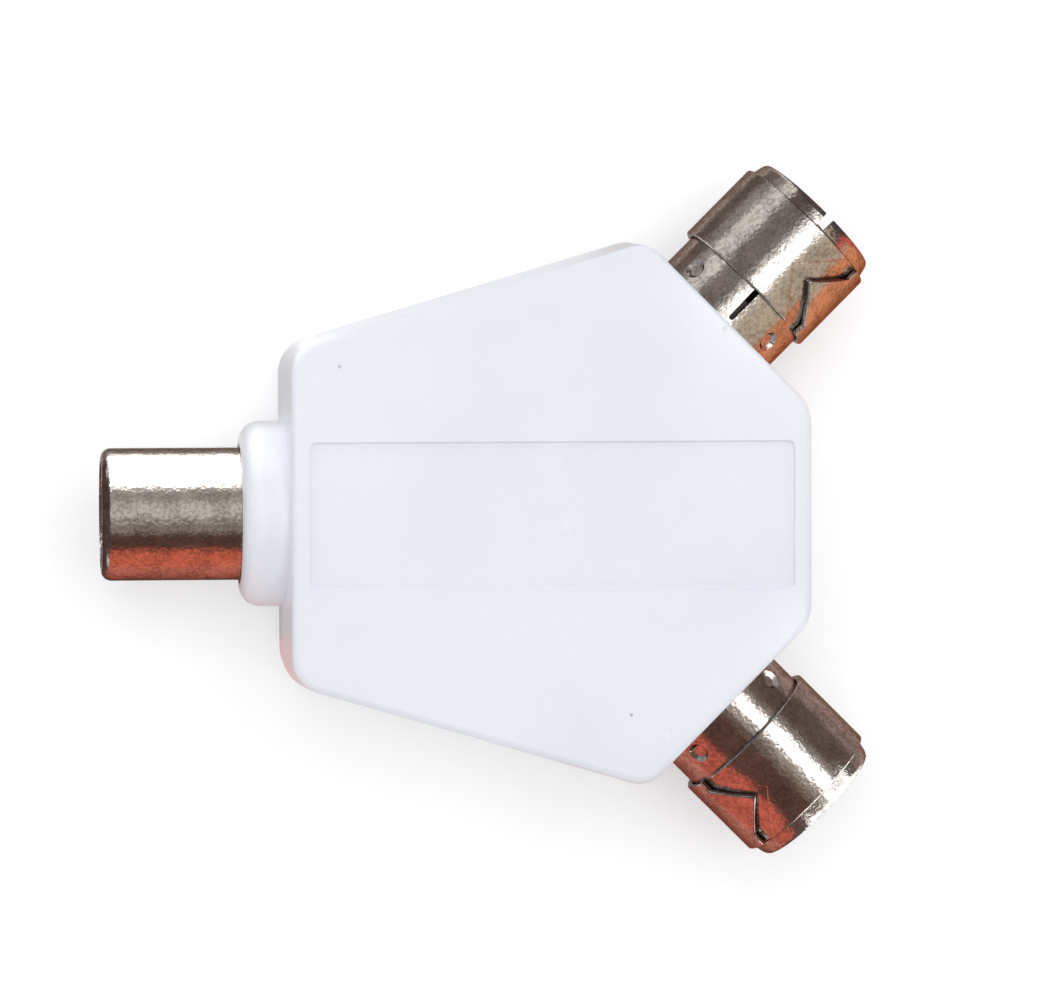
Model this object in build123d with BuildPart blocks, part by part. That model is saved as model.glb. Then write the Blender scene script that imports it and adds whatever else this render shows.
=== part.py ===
from build123d import *
import os
from math import cos, radians, sin, tan

os.makedirs("parts", exist_ok=True)

# Aerial splitter: one plug and two sockets on a moulded two-part housing, in millimetres.
# The base lies on Z = 0 and +X points away from the plug. The origin is on the base,
# under the point where the three connector axes meet.

# housing outline at the joint line, where it is widest
plug_face = 17.45  # axes' meeting point to the face that carries the plug
end_face = 20.1  # axes' meeting point to the short face between the sockets
plug_end_half_width = 12.1
flank_angle = 16.5  # how far each long flank opens towards the sockets
socket_face = 19.7  # axes' meeting point to each angled face
socket_angle = 45.0  # between a socket and the X axis
plug_corner_r = 2.8
shoulder_r = 2.4
end_corner_r = 3.3

# housing section
edge_r = 0.55
draft = 2.0
wall = 1.5
floor = 1.4
collar_r = 6.65
collar_length = 3.05
collar_round = 1.45
panel_length = 34.5
panel_width = 10.5
panel_middle = 1.35
panel_depth = 0.25
panel_corner_r = 0.45

# joint between the two shells
tongue_width = 0.65
tongue_height = 0.7
boss_r = 1.6
boss_gap = 0.4
corner_boss_x = -12.4
flank_boss_x = -1.5
end_boss_inset = 3.4
peg_r = 0.8
peg_length = 2.6

# fits
slip = 0.05
snug = 0.02
play = 0.25
over = 1.0  # how far a cut runs past what it cuts

# how every connector is held behind its face, by a flange, a sheet and a flared end
flange_step = 0.65
flange_thickness = 1.2
head_room = 0.5  # largest flange to the housing's floor
sheet = 0.5
spigot_step = 0.2
flare = 0.25
stake_length = 0.4
frame_margin = 0.2

# plug
plug_r = 4.75
plug_wall = 0.5
plug_seat_step = 0.25
plug_length = 9.9  # collar to tip
curl_in = 0.4
tip_round = 0.75
lip_thickness = 0.45
pin_r = 1.2
pin_recess = 0.4
pin_nose = 1.0
pin_nose_r = 0.55
plug_insulator_out = 3.9
insulator_in = 4.3

# sockets
tube_bore_r = 4.8
tube_wall = 0.45
tube_length = 10.5  # angled face to mouth
lip_length = 1.15
lip_step = 0.15
nose_r = 0.38
lead_in = 0.15
slot_width = 0.4  # at its closed end
mouth_slot_width = 0.75
slot_start = 0.2  # angled face to the closed end of the slot
left_slot_turn = 3.5
right_slot_turn = 93.5
socket_insulator_out = 2.0

# stakes punched into the tube to lock the insulator
stake_out = 1.15
stake_turns = (-47.0, 43.0, 133.0, 223.0)
pit_r = 0.75
pit_floor_r = 0.45
pit_depth = 0.3
bump_height = 0.3
groove_width = 1.5
groove_depth = 0.45

# spring ring round the fingers, closed by a V-shaped end in a V-shaped notch
ring_thickness = 0.48
ring_length = 6.4
vee_depth = 2.85
vee_half_width = 2.35
left_vee_gap = 1.7
right_vee_gap = 1.05
left_vee_turn = 31.0
right_vee_turn = 40.0

# centre contacts
contact_r = 1.9
contact_bore_r = 1.22
contact_recess = 0.6
contact_floor = 0.5
contact_slot_width = 0.35
contact_lead_in = 0.2
shank_r = 0.9
tail_r = 0.5
tail_end = 8.5  # axes' meeting point to the end of each tail

# board and what it carries
board_thickness = 1.0
board_start = -10.5
board_end = 10.5
board_half_width = 9.8
board_corner = 2.5
post_r = 1.2
post_hole_gap = 0.4
board_peg_r = 0.6
rear_post = (-8.5, 7.5)
front_post = (3.0, 8.0)
core_width = 6.6
core_height = 3.6
core_depth = 4.0
core_bore_r = 0.85
core_pitch = 2.9
bundle = 0.8
bundle_gap = 0.15
matching_x = -1.2
splitting_x = 4.9
resistor_length = 3.2
resistor_width = 1.6
resistor_height = 0.55
resistor_x = 9.1
capacitor_length = 2.0
capacitor_width = 1.25
capacitor_height = 0.9
capacitor_gap = 0.3
chip_cap = 0.35
chip_cap_proud = 0.03

# places that follow from the sizes above
tube_r = tube_bore_r + tube_wall
plug_bore_r = plug_r - plug_wall
plug_seat_r = plug_r + plug_seat_step
half_thickness = max(tube_r, plug_seat_r) + flange_step + head_room + floor
collar_front = plug_face + collar_length
tip = collar_front + plug_length
mouth = socket_face + tube_length
ring_front = mouth - lip_length
ring_back = ring_front - ring_length
ring_r = tube_r + snug + ring_thickness
board_top = half_thickness - tail_r - snug
board_base = board_top - board_thickness

# directions, and planes that lie along or across a connector
up = Vector(0, 0, 1)
centre = Vector(0, 0, half_thickness)
plug_way = Vector(-1, 0, 0)
left_way = Vector(cos(radians(socket_angle)), sin(radians(socket_angle)), 0)
right_way = Vector(cos(radians(socket_angle)), -sin(radians(socket_angle)), 0)
joint_plane = Plane.XY.offset(half_thickness)


def turned(way, angle):
    # the direction at an angle round a connector, counted from straight up
    return up * cos(radians(angle)) + way.cross(up) * sin(radians(angle))


def along(way, angle=0.0):
    # sketch X runs out along the connector, and the plane faces the given angle
    return Plane(origin=centre, x_dir=way, z_dir=turned(way, angle))


def lengthwise(way):
    # sketch X runs out along the connector and sketch Y is the radius
    return Plane(origin=centre, x_dir=way, z_dir=way.cross(up))


def across(way, distance):
    # square to the connector, its sketch X pointing up
    return Plane(origin=centre + way * distance, x_dir=up, z_dir=way)


def flank_y(x):
    # where the long flank stands at a given x
    return plug_end_half_width + tan(radians(flank_angle)) * (x + plug_face)


# housing outline
flank_slope = tan(radians(flank_angle))
face_cos = cos(radians(socket_angle))
face_sin = sin(radians(socket_angle))
shoulder_x = (socket_face - face_sin * flank_y(0)) / (face_cos + face_sin * flank_slope)
end_half_width = (socket_face - end_face * face_cos) / face_sin

with BuildSketch() as outline:
    with BuildLine():
        Polyline(
            (-plug_face, plug_end_half_width),
            (-plug_face, -plug_end_half_width),
            (shoulder_x, -flank_y(shoulder_x)),
            (end_face, -end_half_width),
            (end_face, end_half_width),
            (shoulder_x, flank_y(shoulder_x)),
            close=True,
        )
    make_face()
    fillet(outline.vertices().group_by(Axis.X)[0], plug_corner_r)
    fillet(outline.vertices().group_by(Axis.X)[-1], end_corner_r)
    fillet(outline.vertices().group_by(Axis.Y)[0], shoulder_r)
    fillet(outline.vertices().group_by(Axis.Y)[-1], shoulder_r)

# half of the housing: drafted block, round collar, cavity
with BuildPart() as half_moulding:
    with BuildSketch(joint_plane):
        add(outline.sketch)
    extrude(amount=half_thickness, taper=draft)
    fillet(half_moulding.faces().sort_by(Axis.Z)[-1].edges(), edge_r)
    with BuildSketch(lengthwise(plug_way)) as collar:
        with BuildLine():
            Polyline(
                (plug_face - wall, 0),
                (collar_front, 0),
                (collar_front, collar_r),
                (plug_face - wall, collar_r),
                close=True,
            )
        make_face()
        fillet(collar.vertices().sort_by_distance((collar_front, collar_r))[0], collar_round)
    revolve(axis=Axis(centre, plug_way))
    split(bisect_by=joint_plane, keep=Keep.TOP)
    with BuildSketch(joint_plane):
        offset(outline.sketch, amount=-wall)
    extrude(amount=half_thickness - floor, taper=draft, mode=Mode.SUBTRACT)

lower_moulding = mirror(half_moulding.part, about=joint_plane)

boss_places = [
    (corner_boss_x, flank_y(corner_boss_x) - wall - boss_r - boss_gap),
    (corner_boss_x, -flank_y(corner_boss_x) + wall + boss_r + boss_gap),
    (flank_boss_x, flank_y(flank_boss_x) - wall - boss_r - boss_gap),
    (flank_boss_x, -flank_y(flank_boss_x) + wall + boss_r + boss_gap),
    (end_face - wall - end_boss_inset, 0),
]
post_places = [
    rear_post,
    (rear_post[0], -rear_post[1]),
    front_post,
    (front_post[0], -front_post[1]),
]
bores = (
    (plug_way, plug_seat_r + slip, collar_front + over),
    (left_way, tube_r + slip, socket_face + over),
    (right_way, tube_r + slip, socket_face + over),
)

# upper shell: rebate for the tongue, bosses with press pegs, shallow panel on top
with BuildPart() as upper_shell:
    add(half_moulding.part)
    with BuildSketch(joint_plane):
        offset(outline.sketch, amount=tongue_width + slip - wall)
    extrude(amount=tongue_height + slip, mode=Mode.SUBTRACT)
    with BuildSketch(joint_plane):
        with Locations(*boss_places):
            Circle(boss_r)
    extrude(amount=half_thickness - floor)
    with BuildSketch(joint_plane):
        with Locations(*boss_places):
            Circle(peg_r)
    extrude(amount=-peg_length)
    for way, radius, reach in bores:
        with BuildSketch(across(way, 0)):
            Circle(radius)
        extrude(amount=reach, mode=Mode.SUBTRACT)
    with BuildSketch(Plane.XY.offset(2 * half_thickness)):
        with Locations((panel_middle, 0)):
            RectangleRounded(panel_length, panel_width, panel_corner_r)
    extrude(amount=-panel_depth, mode=Mode.SUBTRACT)

# lower shell: tongue, bosses with peg holes, four posts for the board
with BuildPart() as lower_shell:
    add(lower_moulding)
    with BuildSketch(joint_plane):
        offset(outline.sketch, amount=tongue_width - wall)
        offset(outline.sketch, amount=-wall, mode=Mode.SUBTRACT)
    extrude(amount=tongue_height)
    with BuildSketch(joint_plane):
        with Locations(*boss_places):
            Circle(boss_r)
    extrude(amount=floor - half_thickness)
    with BuildSketch(joint_plane):
        with Locations(*boss_places):
            Circle(peg_r + snug)
    extrude(amount=-peg_length - slip, mode=Mode.SUBTRACT)
    with BuildSketch(Plane.XY.offset(floor)):
        with Locations(*post_places):
            Circle(post_r)
    extrude(amount=board_base - floor)
    with BuildSketch(Plane.XY.offset(board_base)):
        with Locations(*post_places):
            Circle(board_peg_r)
    extrude(amount=board_thickness)
    for way, radius, reach in bores:
        with BuildSketch(across(way, 0)):
            Circle(radius)
        extrude(amount=reach, mode=Mode.SUBTRACT)


def holding_steps(face, bore, seat):
    # from the staked end, through the sheet, to the flange against the housing wall
    flange_front = face - wall - play
    flange_back = flange_front - flange_thickness
    sheet_back = flange_back - sheet
    spigot = seat - spigot_step
    return [
        (sheet_back - stake_length, bore),
        (sheet_back - stake_length, spigot + flare),
        (sheet_back - snug, spigot + flare),
        (sheet_back - snug, spigot),
        (flange_back, spigot),
        (flange_back, seat + flange_step),
        (flange_front, seat + flange_step),
        (flange_front, seat),
    ]


# plug sleeve: turned, with a curled tip and a shoulder flush with the collar
with BuildPart() as plug_sleeve:
    with BuildSketch(lengthwise(plug_way)) as profile:
        with BuildLine():
            Polyline(
                *holding_steps(plug_face, plug_bore_r, plug_seat_r),
                (collar_front, plug_seat_r),
                (collar_front, plug_r),
                (tip, plug_r),
                (tip, plug_bore_r - curl_in),
                (tip - lip_thickness, plug_bore_r - curl_in),
                (tip - 2 * lip_thickness, plug_bore_r),
                close=True,
            )
        make_face()
        fillet(profile.vertices().sort_by_distance((tip, plug_r))[0], tip_round)
    revolve(axis=Axis(centre, plug_way))

# plug insulator
plug_insulator_front = plug_face + plug_insulator_out
with BuildPart() as plug_insulator:
    with BuildSketch(across(plug_way, plug_face - insulator_in)):
        Circle(plug_bore_r - snug)
        Circle(shank_r + snug, mode=Mode.SUBTRACT)
    extrude(amount=plug_insulator_front - plug_face + insulator_in)

# plug pin: tail to the board, thin shank in the insulator, pin with a tapered nose
pin_end = tip - pin_recess
with BuildPart() as plug_pin:
    with BuildSketch(lengthwise(plug_way)) as profile:
        with BuildLine():
            Polyline(
                (tail_end, 0),
                (tail_end, tail_r),
                (plug_face - insulator_in, tail_r),
                (plug_face - insulator_in, shank_r),
                (plug_insulator_front, shank_r),
                (plug_insulator_front, pin_r),
                (pin_end - pin_nose, pin_r),
                (pin_end, pin_nose_r),
                (pin_end, 0),
                close=True,
            )
        make_face()
        fillet(profile.vertices().sort_by_distance((pin_end, pin_nose_r))[0], pin_nose_r / 2)
    revolve(axis=Axis(centre, plug_way))


def socket_tube(way, slot_turn):
    # flanged tube, slit into two fingers, with four stakes near the housing
    with BuildPart() as tube:
        with BuildSketch(lengthwise(way)) as profile:
            with BuildLine():
                Polyline(
                    *holding_steps(socket_face, tube_bore_r, tube_r),
                    (ring_front + snug, tube_r),
                    (ring_front + snug, tube_r + lip_step),
                    (mouth, tube_r + lip_step),
                    (mouth, tube_bore_r + lead_in),
                    (mouth - lead_in, tube_bore_r),
                    close=True,
                )
            make_face()
            fillet(profile.vertices().sort_by_distance((mouth, tube_r + lip_step))[0], nose_r)
        revolve(axis=Axis(centre, way))
        slot_middle = socket_face + slot_start + slot_width / 2
        with BuildSketch(along(way, slot_turn)):
            with Locations((slot_middle, 0)):
                Circle(slot_width / 2)
            with BuildLine():
                Polyline(
                    (slot_middle, slot_width / 2),
                    (slot_middle, -slot_width / 2),
                    (mouth, -mouth_slot_width / 2),
                    (mouth, mouth_slot_width / 2),
                    close=True,
                )
            make_face()
        extrude(amount=2 * tube_r, both=True, mode=Mode.SUBTRACT)
        stake = centre + way * (socket_face + stake_out)
        pits = [Plane(stake + turned(way, a) * tube_r, z_dir=turned(way, a)) for a in stake_turns]
        bumps = [Plane(stake + turned(way, a) * tube_bore_r, z_dir=turned(way, a)) for a in stake_turns]
        stand = (Align.CENTER, Align.CENTER, Align.MIN)
        with Locations(*[p.offset(-bump_height) for p in bumps]):
            Cone(pit_floor_r, pit_r, bump_height + tube_wall / 2, align=stand)
        with Locations(*[p.offset(-pit_depth) for p in pits]):
            Cone(pit_floor_r, pit_r, pit_depth, align=stand, mode=Mode.SUBTRACT)
    return tube.part


def spring_ring(way, vee_turn, vee_gap):
    # rolled strip whose pointed end stands in the notch of the other end
    with BuildPart() as ring:
        with BuildSketch(across(way, ring_back)):
            Circle(ring_r)
            Circle(tube_r + snug, mode=Mode.SUBTRACT)
        extrude(amount=ring_length)
        middle = (ring_back + ring_front) / 2
        notch = (vee_depth + vee_gap) / 2
        point = (vee_depth - vee_gap) / 2
        with BuildSketch(along(way, vee_turn)):
            with BuildLine():
                Polyline(
                    (middle, notch),
                    (ring_back, notch - vee_depth),
                    (ring_back - over, notch - vee_depth),
                    (ring_back - over, -notch),
                    (middle - vee_half_width, -notch),
                    (middle, point),
                    (middle + vee_half_width, -notch),
                    (ring_front + over, -notch),
                    (ring_front + over, notch - vee_depth),
                    (ring_front, notch - vee_depth),
                    close=True,
                )
            make_face()
        extrude(amount=ring_r + over, mode=Mode.SUBTRACT)
    return ring.part


def socket_insulator(way):
    # round plug of plastic, with a groove that takes the stakes
    front = socket_face + socket_insulator_out
    back = socket_face - insulator_in
    groove = socket_face + stake_out
    with BuildPart() as insulator:
        with BuildSketch(lengthwise(way)):
            with BuildLine():
                Polyline(
                    (back, shank_r + snug),
                    (back, tube_bore_r - snug),
                    (groove - groove_width / 2 - groove_depth, tube_bore_r - snug),
                    (groove - groove_width / 2, tube_bore_r - groove_depth),
                    (groove + groove_width / 2, tube_bore_r - groove_depth),
                    (front, tube_bore_r - groove_depth),
                    (front, shank_r + snug),
                    close=True,
                )
            make_face()
        revolve(axis=Axis(centre, way))
    return insulator.part


def socket_contact(way):
    # tail to the board, shank in the insulator, slit sleeve that grips a pin
    insulator_front = socket_face + socket_insulator_out
    front = mouth - contact_recess
    bore_floor = insulator_front + contact_floor
    with BuildPart() as contact:
        with BuildSketch(lengthwise(way)):
            with BuildLine():
                Polyline(
                    (tail_end, 0),
                    (tail_end, tail_r),
                    (socket_face - insulator_in, tail_r),
                    (socket_face - insulator_in, shank_r),
                    (insulator_front, shank_r),
                    (insulator_front, contact_r),
                    (front - contact_lead_in, contact_r),
                    (front, contact_r - contact_lead_in),
                    (front, contact_bore_r + contact_lead_in),
                    (front - contact_lead_in, contact_bore_r),
                    (bore_floor, contact_bore_r),
                    (bore_floor, 0),
                    close=True,
                )
            make_face()
        revolve(axis=Axis(centre, way))
        slit = front - bore_floor - contact_floor
        with BuildSketch(along(way)):
            with Locations((front + (over - slit) / 2, 0)):
                Rectangle(slit + over, contact_slot_width)
        extrude(amount=contact_r + over, both=True, mode=Mode.SUBTRACT)
    return contact.part


# earth frame: bent sheet with an upright behind every connector's flange
with BuildPart() as earth_frame:
    for way, face, seat in (
        (plug_way, plug_face, plug_seat_r),
        (left_way, socket_face, tube_r),
        (right_way, socket_face, tube_r),
    ):
        foot = face - wall - play - flange_thickness
        frame_half = seat + flange_step + frame_margin
        height = half_thickness - floor + frame_half
        with BuildSketch(Plane(origin=(0, 0, floor), x_dir=way, z_dir=up)):
            with Locations((foot / 2, 0)):
                Rectangle(foot, 2 * frame_half)
        extrude(amount=sheet)
        with BuildSketch(across(way, foot - sheet)):
            with Locations((floor - half_thickness + height / 2, 0)):
                Rectangle(height, 2 * frame_half)
            Circle(seat - spigot_step + snug, mode=Mode.SUBTRACT)
        extrude(amount=sheet)
    with BuildSketch(Plane.XY.offset(floor)):
        with Locations(*post_places):
            Circle(post_r + post_hole_gap)
    extrude(amount=sheet, mode=Mode.SUBTRACT)

# circuit board on its posts
with BuildPart() as circuit_board:
    with BuildSketch(Plane.XY.offset(board_base)) as board:
        with Locations(((board_start + board_end) / 2, 0)):
            Rectangle(board_end - board_start, 2 * board_half_width)
        chamfer(board.vertices().group_by(Axis.X)[-1], board_corner)
        with Locations(*post_places):
            Circle(board_peg_r + slip, mode=Mode.SUBTRACT)
    extrude(amount=board_thickness)


def ferrite_core(x):
    # block with rounded ends and two bores, lying on the board
    face = Plane((x - core_depth / 2, 0, board_top + core_height / 2), x_dir=(0, 1, 0), z_dir=(1, 0, 0))
    with BuildPart() as core:
        with BuildSketch(face):
            SlotOverall(core_width, core_height)
            with Locations((-core_pitch / 2, 0), (core_pitch / 2, 0)):
                Circle(core_bore_r, mode=Mode.SUBTRACT)
        extrude(amount=core_depth)
    return core.part


def winding(x):
    # bundle of turns, through one bore and back through the other
    level = board_top + core_height / 2 - bundle / 2
    inner_length = core_depth + 2 * bundle_gap
    with BuildPart() as turns:
        with BuildSketch(Plane((x, 0, level))):
            RectangleRounded(inner_length + 2 * bundle, core_pitch + bundle, bundle)
            Rectangle(inner_length, core_pitch - bundle, mode=Mode.SUBTRACT)
        extrude(amount=bundle)
    return turns.part


def chip(middle, direction, length, width, height):
    # surface-mounted part with a slightly proud metal cap on each end
    place = Plane((middle.X, middle.Y, board_top), x_dir=direction, z_dir=up)
    with BuildPart() as body:
        with BuildSketch(place):
            Rectangle(length, width)
        extrude(amount=height)
        with BuildSketch(place):
            with GridLocations(length - chip_cap, 0, 2, 1):
                Rectangle(chip_cap, width + 2 * chip_cap_proud)
        extrude(amount=height + chip_cap_proud)
    return body.part


def capacitor(way):
    # in line with a connector's tail, just inside its end
    reach = tail_end - capacitor_gap - capacitor_length / 2
    return chip(way * reach, way, capacitor_length, capacitor_width, capacitor_height)


balance_resistor = chip(
    Vector(resistor_x, 0, 0),
    Vector(0, 1, 0),
    resistor_length,
    resistor_width,
    resistor_height,
)

pieces = {
    "upper_shell": upper_shell.part,
    "lower_shell": lower_shell.part,
    "plug_sleeve": plug_sleeve.part,
    "plug_insulator": plug_insulator.part,
    "plug_pin": plug_pin.part,
    "left_socket_tube": socket_tube(left_way, left_slot_turn),
    "left_spring_ring": spring_ring(left_way, left_vee_turn, left_vee_gap),
    "left_socket_insulator": socket_insulator(left_way),
    "left_socket_contact": socket_contact(left_way),
    "right_socket_tube": socket_tube(right_way, right_slot_turn),
    "right_spring_ring": spring_ring(right_way, right_vee_turn, right_vee_gap),
    "right_socket_insulator": socket_insulator(right_way),
    "right_socket_contact": socket_contact(right_way),
    "earth_frame": earth_frame.part,
    "circuit_board": circuit_board.part,
    "matching_core": ferrite_core(matching_x),
    "matching_winding": winding(matching_x),
    "splitting_core": ferrite_core(splitting_x),
    "splitting_winding": winding(splitting_x),
    "balance_resistor": balance_resistor,
    "input_capacitor": capacitor(plug_way),
    "left_capacitor": capacitor(left_way),
    "right_capacitor": capacitor(right_way),
}
for name, piece in pieces.items():
    piece.label = name
    export_step(piece, f"parts/{name}.step")
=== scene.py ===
from math import asin, cos, pi, radians, sin, tan

import bpy
from mathutils import Matrix, Vector


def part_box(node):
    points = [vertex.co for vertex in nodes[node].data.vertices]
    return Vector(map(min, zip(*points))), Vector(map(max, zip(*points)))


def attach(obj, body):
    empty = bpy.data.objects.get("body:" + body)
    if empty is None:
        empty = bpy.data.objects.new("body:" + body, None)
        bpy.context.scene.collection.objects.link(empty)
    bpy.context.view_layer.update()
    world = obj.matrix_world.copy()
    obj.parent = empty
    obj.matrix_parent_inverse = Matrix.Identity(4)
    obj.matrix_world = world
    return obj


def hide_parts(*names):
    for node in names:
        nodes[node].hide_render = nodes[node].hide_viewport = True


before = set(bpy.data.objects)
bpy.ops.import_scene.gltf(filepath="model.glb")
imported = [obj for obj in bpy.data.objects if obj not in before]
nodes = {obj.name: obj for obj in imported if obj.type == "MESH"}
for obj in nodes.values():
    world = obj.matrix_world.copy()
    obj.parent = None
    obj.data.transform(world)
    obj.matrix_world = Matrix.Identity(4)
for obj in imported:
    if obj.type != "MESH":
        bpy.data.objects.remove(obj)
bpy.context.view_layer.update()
print("loaded", len(nodes), "nodes")

scene = bpy.context.scene
scene.view_settings.view_transform = "Standard"

axisHeight = 0.0078  # the three connector axes lie in this plane
leftWay = Vector((cos(radians(45)), sin(radians(45)), 0))
rightWay = Vector((cos(radians(45)), -sin(radians(45)), 0))
plugWay = Vector((-1, 0, 0))


# camera: almost straight down, a little from the plug's side
cameraSetup = {
    "tiltX": 6.0,       # degrees towards the plug
    "tiltY": 2.2,       # degrees towards the left socket
    "roll": -0.15,
    "distance": 0.4,
    "lens": 189.7,
    "sensor": 36,
    "shift": (0.0031, 0.0111),
    "clip": (0.01, 20),
}


def addCamera(c):
    back = Vector((-tan(radians(c["tiltX"])), tan(radians(c["tiltY"])), 1)).normalized()
    side = (-back).cross(Vector((0, 1, 0))).normalized()
    upright = side.cross(-back)
    a = radians(c["roll"])
    side, upright = side * cos(a) + upright * sin(a), upright * cos(a) - side * sin(a)
    data = bpy.data.cameras.new("camera")
    data.lens = c["lens"]
    data.sensor_width = c["sensor"]
    data.shift_x, data.shift_y = c["shift"]
    data.clip_start, data.clip_end = c["clip"]
    camera = bpy.data.objects.new("camera", data)
    turn = Matrix((side, upright, back)).transposed().to_4x4()
    camera.matrix_world = Matrix.Translation(Vector((0, 0, axisHeight)) + back * c["distance"]) @ turn
    scene.collection.objects.link(camera)
    scene.camera = camera


addCamera(cameraSetup)
print("camera")


# shader maths: a socket that adds nodes when it is used in an expression
class Value:
    def __init__(self, maker, socket):
        self.maker = maker
        self.socket = socket

    def math(self, operation, *others):
        inputs = dict(enumerate((self,) + others))
        return self.maker.node("ShaderNodeMath", {"operation": operation}, inputs)

    def __add__(self, other):
        return self.math("ADD", other)

    def __sub__(self, other):
        return self.math("SUBTRACT", other)

    def __rsub__(self, other):
        return self.maker.node("ShaderNodeMath", {"operation": "SUBTRACT"}, {0: other, 1: self})

    def __mul__(self, other):
        return self.math("MULTIPLY", other)

    def __gt__(self, other):
        return self.math("GREATER_THAN", other)

    def __abs__(self):
        return self.math("ABSOLUTE")

    def top(self, other):
        return self.math("MAXIMUM", other)

    def low(self, other):
        return self.math("MINIMUM", other)

    def fade(self, start, end):
        # 0 before start, 1 after end, smooth between
        return self.maker.node("ShaderNodeMapRange", {"interpolation_type": "SMOOTHSTEP"},
                               {"Value": self, "From Min": start, "From Max": end})


class Finish:
    def __init__(self, name, **shader):
        self.material = bpy.data.materials.new(name)
        self.material.use_nodes = True
        self.tree = self.material.node_tree
        self.shader = self.tree.nodes["Principled BSDF"]
        for key, value in shader.items():
            self.shader.inputs[key.replace("_", " ")].default_value = value
        self.place = self.node("ShaderNodeTexCoord", {}, {}, "Object")

    def node(self, kind, settings, inputs, output=0):
        made = self.tree.nodes.new(kind)
        for key, value in settings.items():
            setattr(made, key, value)
        for key, value in inputs.items():
            if isinstance(value, Value):
                self.tree.links.new(value.socket, made.inputs[key])
            else:
                made.inputs[key].default_value = value
        return Value(self, made.outputs[output])

    def noise(self, scale, detail=2.0, rough=0.5, place=None):
        return self.node("ShaderNodeTexNoise", {}, {
            "Vector": place or self.place, "Scale": scale, "Detail": detail, "Roughness": rough})

    def cells(self, scale, place=None, output="Distance"):
        inputs = {"Vector": place or self.place, "Scale": scale}
        return self.node("ShaderNodeTexVoronoi", {}, inputs, output)

    def stretched(self, scale, turn=0.0, location=(0, 0, 0)):
        return self.node("ShaderNodeMapping", {}, {
            "Vector": self.place, "Location": location,
            "Rotation": (0, 0, radians(turn)), "Scale": scale})

    def mix(self, factor, first, second):
        return self.node("ShaderNodeMix", {"data_type": "RGBA"}, {0: factor, 6: first, 7: second}, 2)

    def reach(self, direction, middle=(0, 0, 0)):
        # how far a point lies along a direction, from a middle point
        inputs = {0: self.place, 1: middle}
        offset = self.node("ShaderNodeVectorMath", {"operation": "SUBTRACT"}, inputs)
        inputs = {0: offset, 1: direction}
        return self.node("ShaderNodeVectorMath", {"operation": "DOT_PRODUCT"}, inputs, "Value")

    def near(self, point, radius, soft):
        # 1 inside a ball round a point, fading over its edge
        inputs = {0: self.place, 1: point}
        far = self.node("ShaderNodeVectorMath", {"operation": "DISTANCE"}, inputs, "Value")
        return 1 - far.fade(radius - soft, radius + soft)

    def bump(self, height, strength, distance, under=None):
        inputs = {"Height": height, "Strength": strength, "Distance": distance}
        if under:
            inputs["Normal"] = under
        return self.node("ShaderNodeBump", {}, inputs)

    def put(self, socket, value):
        self.tree.links.new(value.socket, self.shader.inputs[socket])


def dress(finish, *names):
    for name in names:
        for slot in nodes[name].material_slots:
            slot.material = finish.material
        if not nodes[name].material_slots:
            nodes[name].data.materials.append(finish.material)


# housing: glossy moulded plastic, with a few small marks from handling.
# Marks and pale spots lie on the face with the panel: x, y, radius, depth
housing = {
    "colour": (0.80, 0.825, 0.875, 1),
    "shade": (0.76, 0.775, 0.84, 1),
    "grime": (0.27, 0.22, 0.18, 1),
    "paleSpot": (0.90, 0.90, 0.92, 1),
    "roughness": 0.36,
    "clouds": 55,       # scales of the patterns, in cells to a metre
    "grain": 2600,
    "dust": 420,
    "wear": 900,
    "swell": 300,
    "dusty": 0.05,      # share of the dust cells that hold a grain
    "dustDepth": 0.35,
    "wearTurn": -12,
    "specks": [
        (-0.01378, 0.0106, 0.00013, 0.45),
        (0.00686, -0.01418, 0.00011, 0.7),
        (0.0136, 0.0132, 0.00020, 0.22),
    ],
    "bright": [
        (0.00942, -0.01566, 0.00020, 0.5),
        (0.00223, -0.0008, 0.0004, 0.3),
    ],
}


def housingPlastic(c):
    f = Finish("housingPlastic", Roughness=c["roughness"], IOR=1.5)
    cloud = f.noise(c["clouds"], 3, 0.55)
    body = f.mix(cloud.fade(0.35, 0.7), c["colour"], c["shade"])
    fine = f.noise(c["grain"], 2, 0.5)
    body = f.mix(fine.fade(0.35, 0.65) * 0.25, body, c["shade"])
    dust = f.cells(c["dust"])
    cellColour = f.cells(c["dust"], output="Color")
    picked = f.node("ShaderNodeSeparateColor", {}, {"Color": cellColour}, "Red") > 1 - c["dusty"]
    marks = (1 - dust.fade(0.02, 0.07)) * picked * c["dustDepth"]
    top = 2 * axisHeight
    for x, y, radius, depth in c["specks"]:
        marks = marks.top(f.near((x, y, top), radius, radius * 0.4) * depth)
    body = f.mix(marks, body, c["grime"])
    # pale spots: round each listed point the body colour is lightened towards a paler colour
    for x, y, radius, depth in c["bright"]:
        body = f.mix(f.near((x, y, top), radius, radius * 0.7) * depth, body, c["paleSpot"])
    f.put("Base Color", body)
    wear = f.noise(c["wear"], 3, 0.6, f.stretched((1, 0.06, 1), c["wearTurn"]))
    f.put("Roughness", fine * 0.08 + wear.fade(0.5, 0.8) * 0.10 + c["roughness"] - 0.07)
    skin = f.bump(fine, 0.10, 0.00002)
    f.put("Normal", f.bump(f.noise(c["swell"], 1, 0.4), 0.12, 0.00006, skin))
    return f


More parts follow.
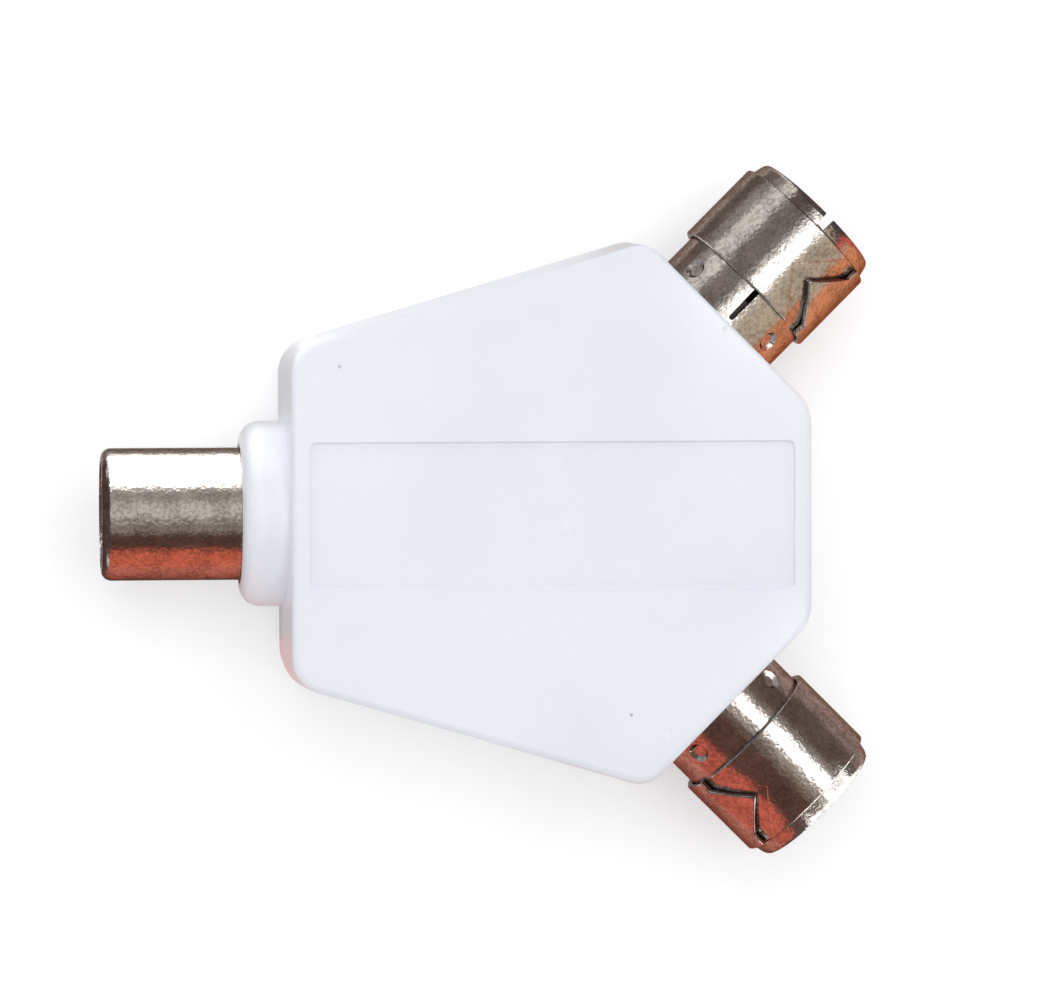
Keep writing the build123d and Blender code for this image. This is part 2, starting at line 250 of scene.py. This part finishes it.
# nickel plate: bright, with the fine orange-peel grain of tumbled parts and a few dark pits
plate = {
    "bright": (0.60, 0.575, 0.545, 1),
    "dull": (0.34, 0.315, 0.295, 1),
    "stain": (0.06, 0.047, 0.04, 1),
    "edgeTint": (0.34, 0.27, 0.24, 1),
    "roughness": 0.15,
    "grain": 7500,
    "peel": 3600,
    "clouds": 620,
    "pits": 2400,
    "pitDepth": 0.4,
    "seeds": {
        "plug": 0.0, "leftTube": 0.013, "rightTube": 0.027, "leftRing": 0.041, "rightRing": 0.055,
    },
}


def nickelPlate(name, c):
    seed = c["seeds"][name]
    f = Finish(name + "Plate", Metallic=1.0, Roughness=c["roughness"], Specular_Tint=c["edgeTint"])
    place = f.stretched((1, 1, 1), location=(seed, 0, 0))
    grain = f.noise(c["grain"], 2, 0.6, place)
    peel = f.noise(c["peel"], 2, 0.55, place)
    cloud = f.noise(c["clouds"], 3, 0.6, place)
    dull = (peel.fade(0.44, 0.60) * 0.55 + cloud.fade(0.38, 0.62) * 0.45).low(1)
    colour = f.mix(dull, c["bright"], c["dull"])
    pits = f.cells(c["pits"], place)
    stain = (1 - pits.fade(0.08, 0.26)) * cloud.fade(0.42, 0.6) * c["pitDepth"]
    f.put("Base Color", f.mix(stain, colour, c["stain"]))
    f.put("Roughness", peel.fade(0.35, 0.7) * 0.10 + grain * 0.08 + c["roughness"] - 0.06)
    deep = f.bump(peel, 0.5, 0.00005)
    f.put("Normal", f.bump(grain, 0.2, 0.00001, deep))
    return f


# plastic of the insulators: dark, slightly clouded
insulator = {
    "colour": (0.045, 0.04, 0.036, 1),
    "cloud": (0.085, 0.075, 0.065, 1),
    "roughness": 0.5,
    "clouds": 700,
    "gloss": 2500,
    "grain": 3000,
}


def insulatorPlastic(c):
    f = Finish("insulatorPlastic", Roughness=c["roughness"], IOR=1.49)
    cloud = f.noise(c["clouds"], 3, 0.6)
    f.put("Base Color", f.mix(cloud.fade(0.4, 0.65), c["colour"], c["cloud"]))
    f.put("Roughness", f.noise(c["gloss"], 2, 0.5) * 0.16 + c["roughness"] - 0.08)
    f.put("Normal", f.bump(f.noise(c["grain"], 2, 0.5), 0.15, 0.00002))
    return f


# tinned sheet of the earth frame: drawn lines and a soft bloom
tinnedSheet = {
    "colour": (0.62, 0.62, 0.60, 1),
    "bloom": (0.40, 0.40, 0.39, 1),
    "roughness": 0.34,
    "lines": 1400,
    "blooms": 240,
}


def tinnedSheetFinish(c):
    f = Finish("tinnedSheet", Metallic=1.0, Roughness=c["roughness"])
    lines = f.noise(c["lines"], 3, 0.6, f.stretched((0.05, 1, 1)))
    bloom = f.noise(c["blooms"], 4, 0.6)
    f.put("Base Color", f.mix(bloom.fade(0.42, 0.66), c["colour"], c["bloom"]))
    f.put("Roughness", lines * 0.2 + bloom * 0.12 + c["roughness"] - 0.14)
    f.put("Normal", f.bump(lines, 0.2, 0.00002))
    return f


# board: brown laminate with paper fibre under the lacquer
boardLook = {
    "colour": (0.33, 0.17, 0.06, 1),
    "fibre": (0.22, 0.105, 0.035, 1),
    "roughness": 0.42,
    "fibres": 900,
    "fibreTurn": 9,
    "weave": 2600,
}


def boardLaminate(c):
    f = Finish("boardLaminate", Roughness=c["roughness"])
    fibre = f.noise(c["fibres"], 5, 0.65, f.stretched((1, 0.25, 1), c["fibreTurn"]))
    weave = f.noise(c["weave"], 2, 0.5)
    f.put("Base Color", f.mix(fibre.fade(0.38, 0.62), c["colour"], c["fibre"]))
    f.put("Roughness", weave * 0.14 + c["roughness"] - 0.06)
    f.put("Normal", f.bump(fibre, 0.18, 0.00003))
    return f


# ferrite: sintered, dark and slightly sparkling
ferriteLook = {
    "colour": (0.035, 0.035, 0.038, 1),
    "grain": (0.09, 0.09, 0.095, 1),
    "roughness": 0.55,
    "grains": 4200,
    "skin": 3600,
}


def ferriteFinish(c):
    f = Finish("ferriteBlock", Roughness=c["roughness"])
    grain = f.cells(c["grains"])
    f.put("Base Color", f.mix(grain.fade(0.25, 0.6), c["colour"], c["grain"]))
    f.put("Roughness", grain * 0.3 + c["roughness"] - 0.1)
    f.put("Normal", f.bump(f.noise(c["skin"], 3, 0.6), 0.4, 0.00003))
    return f


# wire: copper under a clear enamel
wireLook = {
    "colour": (0.56, 0.20, 0.075, 1),
    "deep": (0.36, 0.10, 0.035, 1),
    "roughness": 0.24,
    "strands": 1800,
}


def wireEnamel(c):
    f = Finish("wireEnamel", Metallic=1.0, Roughness=c["roughness"])
    drawn = f.noise(c["strands"], 3, 0.5, f.stretched((0.2, 0.2, 1)))
    f.put("Base Color", f.mix(drawn.fade(0.4, 0.65), c["colour"], c["deep"]))
    f.put("Roughness", drawn * 0.12 + c["roughness"] - 0.05)
    f.put("Normal", f.bump(drawn, 0.12, 0.00002))
    return f


# chips: ceramic body, tinned ends
chips = {
    "resistorBody": (0.03, 0.03, 0.035, 1),
    "capacitorBody": (0.42, 0.28, 0.15, 1),
    "speckle": (0.5, 0.45, 0.38, 1),
    "tin": (0.66, 0.66, 0.64, 1),
    "speckles": 3800,
    "cap": 0.00035,  # length of a tinned end
    "resistorLength": 0.0032,
    "capacitorLength": 0.002,
}


def chipFinish(name, c, node, kind, way):
    low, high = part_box(node)
    f = Finish(name)
    end = abs(f.reach(way, (low + high) / 2)) > c[kind + "Length"] / 2 - c["cap"]
    speckle = f.noise(c["speckles"], 3, 0.6)
    ceramic = f.mix(speckle.fade(0.4, 0.65) * 0.35, c[kind + "Body"], c["speckle"])
    f.put("Base Color", f.mix(end, ceramic, c["tin"]))
    f.put("Metallic", end)
    f.put("Roughness", speckle * 0.2 + 0.3 - end * 0.05)
    f.put("Normal", f.bump(speckle, 0.25, 0.00002))
    return f


dress(housingPlastic(housing), "upper_shell", "lower_shell")
leftTubePlate = nickelPlate("leftTube", plate)
rightTubePlate = nickelPlate("rightTube", plate)
dress(nickelPlate("plug", plate), "plug_sleeve", "plug_pin")
dress(leftTubePlate, "left_socket_tube", "left_socket_contact")
dress(rightTubePlate, "right_socket_tube", "right_socket_contact")
dress(insulatorPlastic(insulator),
      "plug_insulator", "left_socket_insulator", "right_socket_insulator")
dress(tinnedSheetFinish(tinnedSheet), "earth_frame")
dress(boardLaminate(boardLook), "circuit_board")
dress(ferriteFinish(ferriteLook), "matching_core", "splitting_core")
dress(wireEnamel(wireLook), "matching_winding", "splitting_winding")
acrossBoard = Vector((0, 1, 0))
for name, node, kind, way in (
        ("resistorChip", "balance_resistor", "resistor", acrossBoard),
        ("inputChip", "input_capacitor", "capacitor", plugWay),
        ("leftChip", "left_capacitor", "capacitor", leftWay),
        ("rightChip", "right_capacitor", "capacitor", rightWay)):
    dress(chipFinish(name, chips, node, kind, way), node)
print("finishes")


mergeWithin = 0.000002  # joins a CAD node's loose triangles

# spring rings: the sheared edges of the strip are tumbled round
springRings = {
    "edge": 0.00014,
    "steps": 3,
    "flat": 0.5,    # degrees between faces, below which they become one
    "sharp": 35,    # above which an edge is rounded
    "smooth": 30,   # below which an edge is shaded smooth
}

# socket lips: drawn inwards from the ring to the mouth
socketLips = {
    "start": 0.0291,    # just in front of the ring, along the axis from the origin
    "length": 0.0011,
    "inside": 0.00497,  # points nearer the axis stay
    "draw": 0.6,        # share of the wall outside it that is taken off at the mouth
}


def mergedCopy(name, finish, keepNormals):
    # leaves the copy in edit mode, all selected
    bpy.ops.object.select_all(action="DESELECT")
    piece = bpy.data.objects.new(name + "_rounded", nodes[name].data.copy())
    scene.collection.objects.link(piece)
    piece.select_set(True)
    bpy.context.view_layer.objects.active = piece
    piece.data.materials.clear()
    piece.data.materials.append(finish.material)
    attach(piece, "root")
    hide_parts(name)
    bpy.ops.object.mode_set(mode="EDIT")
    bpy.ops.mesh.select_all(action="SELECT")
    bpy.ops.mesh.remove_doubles(threshold=mergeWithin, use_sharp_edge_from_normals=keepNormals)
    return piece


def roundedRing(name, c, finish):
    piece = mergedCopy(name, finish, False)
    bpy.ops.mesh.dissolve_limited(angle_limit=radians(c["flat"]))
    bpy.ops.object.mode_set(mode="OBJECT")
    bevel = piece.modifiers.new("edges", "BEVEL")
    bevel.width = c["edge"]
    bevel.segments = c["steps"]
    bevel.limit_method = "ANGLE"
    bevel.angle_limit = radians(c["sharp"])
    bpy.ops.object.modifier_apply(modifier="edges")
    bpy.ops.object.shade_smooth_by_angle(angle=radians(c["smooth"]))


def drawnLip(name, c, way, finish):
    # the lip's points lie on circles round the axis, and each circle is scaled towards it
    piece = mergedCopy(name, finish, True)
    bpy.ops.object.mode_set(mode="OBJECT")
    level = Vector((0, 0, axisHeight))
    circles = {}
    for vertex in piece.data.vertices:
        along = vertex.co.dot(way)
        radius = (vertex.co - way * along - level).length
        if along > c["start"] and radius > c["inside"]:
            circles.setdefault((round(along, 5), round(radius, 5)), []).append(vertex.index)
    for (along, radius), members in circles.items():
        share = c["draw"] * min(1, (along - c["start"]) / c["length"])
        target = c["inside"] + (radius - c["inside"]) * (1 - share)
        bpy.ops.object.mode_set(mode="EDIT")
        bpy.ops.mesh.select_mode(type="VERT")
        bpy.ops.mesh.select_all(action="DESELECT")
        bpy.ops.object.mode_set(mode="OBJECT")
        for index in members:
            piece.data.vertices[index].select = True
        bpy.ops.object.mode_set(mode="EDIT")
        bpy.ops.transform.resize(value=(target / radius,) * 3, center_override=way * along + level)
        bpy.ops.object.mode_set(mode="OBJECT")


roundedRing("left_spring_ring", springRings, nickelPlate("leftRing", plate))
roundedRing("right_spring_ring", springRings, nickelPlate("rightRing", plate))
drawnLip("left_socket_tube", socketLips, leftWay, leftTubePlate)
drawnLip("right_socket_tube", socketLips, rightWay, rightTubePlate)
print("spring rings and lips")


# studio: pale floor that the camera sees as white, soft boxes, a dim room
studio = {
    "floorSize": 4,
    "floorColour": (0.74, 0.74, 0.74, 1),
    "floorGlow": 0.34,
    "gap": 0.00003,  # keeps the floor off the housing's underside
    "roomColour": (0.98, 0.98, 1.0, 1),
    "roomStrength": 0.16,
}


def addFloor(c):
    bpy.ops.object.select_all(action="DESELECT")
    bpy.ops.mesh.primitive_plane_add(size=c["floorSize"], location=(0, 0, -c["gap"]))
    floor = bpy.context.object
    floor.name = "studioFloor"
    f = Finish("floorPaper", Roughness=0.9)
    f.shader.inputs["Base Color"].default_value = c["floorColour"]
    f.shader.inputs["Specular IOR Level"].default_value = 0.0
    straight = f.node("ShaderNodeLightPath", {}, {}, "Is Camera Ray")
    mirrored = f.node("ShaderNodeLightPath", {}, {}, "Is Glossy Ray")
    through = f.node("ShaderNodeLightPath", {}, {}, "Is Transmission Ray")
    seen = (straight + mirrored + through).low(1)
    white = (1, 1, 1, 1)
    glow = f.node("ShaderNodeEmission", {}, {"Color": white, "Strength": seen * c["floorGlow"]})
    plain = Value(f, f.shader.outputs[0])
    both = f.node("ShaderNodeAddShader", {}, {0: plain, 1: glow})
    f.tree.links.new(both.socket, f.tree.nodes["Material Output"].inputs["Surface"])
    floor.data.materials.append(f.material)


def addRoom(c):
    world = bpy.data.worlds.new("room")
    scene.world = world
    world.use_nodes = True
    ground = world.node_tree.nodes["Background"]
    ground.inputs["Color"].default_value = c["roomColour"]
    ground.inputs["Strength"].default_value = c["roomStrength"]


# soft boxes: azimuth counts from +X towards +Y, lean from straight up, in degrees
sideBox = {"lean": 68, "distance": 0.80, "size": (0.9, 0.5), "radiance": 1.35}
lamps = {
    "overheadBox": {"azimuth": 90, "lean": 12, "distance": 0.90, "size": (1.0, 0.85), "radiance": 2.2},
    "plugSideBox": {"azimuth": 180, **sideBox},
    "leftSideBox": {"azimuth": 90, **sideBox},
    "socketSideBox": {"azimuth": 0, **sideBox},
    "rightSideBox": {"azimuth": 270, **sideBox},
}

# cards round the connectors and their mouths, which only glossy surfaces mirror. A band runs from
# one angle to another, counted from straight up towards "side", and glows in its colour.
# "reach" is half the cards' length, across the bands.
cards = {
    "plugCards": {
        "middle": plugWay * 0.0282,
        "side": Vector((0, -1, 0)),
        "reach": 0.0112,
        "radius": 0.024,
        "bands": [
            (-150, -126, (0.50, 0.44, 0.40)),
            (-126, -50, (3.6, 3.6, 3.6)),
            (-50, -24, (0.52, 0.48, 0.44)),
            (-24, 10, (0.82, 0.78, 0.72)),
            (10, 32, (0.38, 0.32, 0.28)),
            (32, 60, (0.14, 0.075, 0.06)),
            (60, 66, (0.45, 0.13, 0.08)),
            (66, 104, (0.95, 0.215, 0.125)),
            (104, 140, (0.86, 0.26, 0.19)),
            (140, 160, (0.4, 0.25, 0.2)),
        ],
    },
    "plugTipCards": {
        "middle": plugWay * 0.030,
        "side": plugWay,
        "reach": 0.030,
        "radius": 0.030,
        "bands": [
            (25, 150, (0.14, 0.085, 0.075)),
        ],
    },
    "leftCards": {
        "middle": leftWay * 0.032,
        "side": rightWay,
        "reach": 0.013,
        "radius": 0.019,
        "bands": [
            (-155, -130, (0.70, 0.57, 0.52)),
            (-130, -104, (0.22, 0.17, 0.16)),
            (-104, -84, (0.42, 0.38, 0.36)),
            (-84, -54, (1.0, 0.98, 0.94)),
            (-54, -14, (0.30, 0.26, 0.24)),
            (-14, -6, (1.0, 0.97, 0.94)),
            (-6, 19, (3.0, 3.0, 3.0)),
            (19, 30, (0.85, 0.76, 0.64)),
            (30, 74, (0.72, 0.60, 0.46)),
            (74, 155, (1.05, 0.40, 0.20)),
        ],
    },
    "leftMouthCards": {
        "middle": leftWay * 0.030 - rightWay * 0.001,
        "side": leftWay,
        "reach": 0.011,
        "radius": 0.012,
        "bands": [
            (24, 150, (0.14, 0.10, 0.09)),
        ],
    },
    "leftPaleMouthCards": {
        "middle": leftWay * 0.030 - rightWay * 0.022,
        "side": leftWay,
        "reach": 0.010,
        "radius": 0.012,
        "bands": [
            (24, 150, (1.1, 1.05, 1.0)),
        ],
    },
    "leftWarmMouthCards": {
        "middle": leftWay * 0.030 + rightWay * 0.021,
        "side": leftWay,
        "reach": 0.011,
        "radius": 0.012,
        "bands": [
            (24, 150, (0.85, 0.18, 0.13)),
        ],
    },
    "rightCards": {
        "middle": rightWay * 0.032,
        "side": -leftWay,
        "reach": 0.013,
        "radius": 0.019,
        "bands": [
            (-155, -122, (0.75, 0.53, 0.50)),
            (-122, -96, (0.42, 0.31, 0.29)),
            (-96, -52, (0.18, 0.125, 0.105)),
            (-52, -38, (0.34, 0.29, 0.26)),
            (-38, -17, (3.4, 3.4, 3.4)),
            (-17, -3, (0.52, 0.45, 0.40)),
            (-3, 8, (0.28, 0.22, 0.18)),
            (8, 56, (0.16, 0.08, 0.065)),
            (56, 104, (0.86, 0.19, 0.13)),
            (104, 155, (0.80, 0.30, 0.23)),
        ],
    },
    "rightMouthCards": {
        "middle": rightWay * 0.030 + leftWay * 0.013,
        "side": rightWay,
        "reach": 0.019,
        "radius": 0.012,
        "bands": [
            (28, 150, (2.4, 2.4, 2.4)),
        ],
    },
    "rightDimMouthCards": {
        "middle": rightWay * 0.030 - leftWay * 0.0105,
        "side": rightWay,
        "reach": 0.0045,
        "radius": 0.012,
        "bands": [
            (28, 150, (0.16, 0.10, 0.09)),
        ],
    },
    "rightWarmMouthCards": {
        "middle": rightWay * 0.030 - leftWay * 0.0235,
        "side": rightWay,
        "reach": 0.0085,
        "radius": 0.012,
        "bands": [
            (28, 150, (0.70, 0.16, 0.12)),
        ],
    },
}
cardTrace = {
    "tubeRadius": 0.0052,   # where the mirrored rays start, round a connector's axis
    "aboveFloor": 0.0003,   # where the cards end
    "bend": 8,              # degrees a card's strip may span
}


def addBox(name, c):
    a, lean = radians(c["azimuth"]), radians(c["lean"])
    way = Vector((cos(a) * sin(lean), sin(a) * sin(lean), cos(lean)))
    data = bpy.data.lights.new(name, "AREA")
    data.shape = "RECTANGLE"
    data.size, data.size_y = c["size"]
    data.energy = c["radiance"] * pi * c["size"][0] * c["size"][1]
    lamp = bpy.data.objects.new(name, data)
    across = Vector((0, 0, 1)).cross(way).normalized()  # the first size runs level
    turn = Matrix((across, way.cross(across), way)).transposed().to_4x4()
    lamp.matrix_world = Matrix.Translation(Vector((0, 0, axisHeight)) + way * c["distance"]) @ turn
    lamp.visible_camera = False
    lamp.visible_glossy = False
    scene.collection.objects.link(lamp)


def cardPoint(c, angle):
    # on a half circle round the connector, cut off above the floor
    angle = radians(angle)
    angle -= asin(cardTrace["tubeRadius"] * sin(angle / 2) / c["radius"])
    reach = c["radius"]
    if cos(angle) < 0:
        reach = min(reach, (axisHeight - cardTrace["aboveFloor"]) / -cos(angle))
    way = c["side"] * sin(angle) + Vector((0, 0, cos(angle)))
    return Vector((0, 0, axisHeight)) + c["middle"] + way * reach


def addCards(name, c):
    along = Vector((0, 0, 1)).cross(c["side"]) * c["reach"]
    for count, (first, last, colour) in enumerate(c["bands"]):
        steps = 1 + int((last - first) / cardTrace["bend"])
        points = []
        for i in range(steps + 1):
            middle = cardPoint(c, first + (last - first) * i / steps)
            points += [middle - along, middle + along]
        faces = [(2 * i, 2 * i + 1, 2 * i + 3, 2 * i + 2) for i in range(steps)]
        mesh = bpy.data.meshes.new(name)
        mesh.from_pydata(points, [], faces)
        card = bpy.data.objects.new(name + str(count), mesh)
        f = Finish(name + str(count), Base_Color=(0, 0, 0, 1), Specular_IOR_Level=0.0,
                   Emission_Color=colour + (1,), Emission_Strength=1.0)
        mesh.materials.append(f.material)
        card.visible_camera = False
        card.visible_diffuse = False
        card.visible_shadow = False
        scene.collection.objects.link(card)


addFloor(studio)
addRoom(studio)
for name, c in lamps.items():
    addBox(name, c)
for name, c in cards.items():
    addCards(name, c)
print("studio")
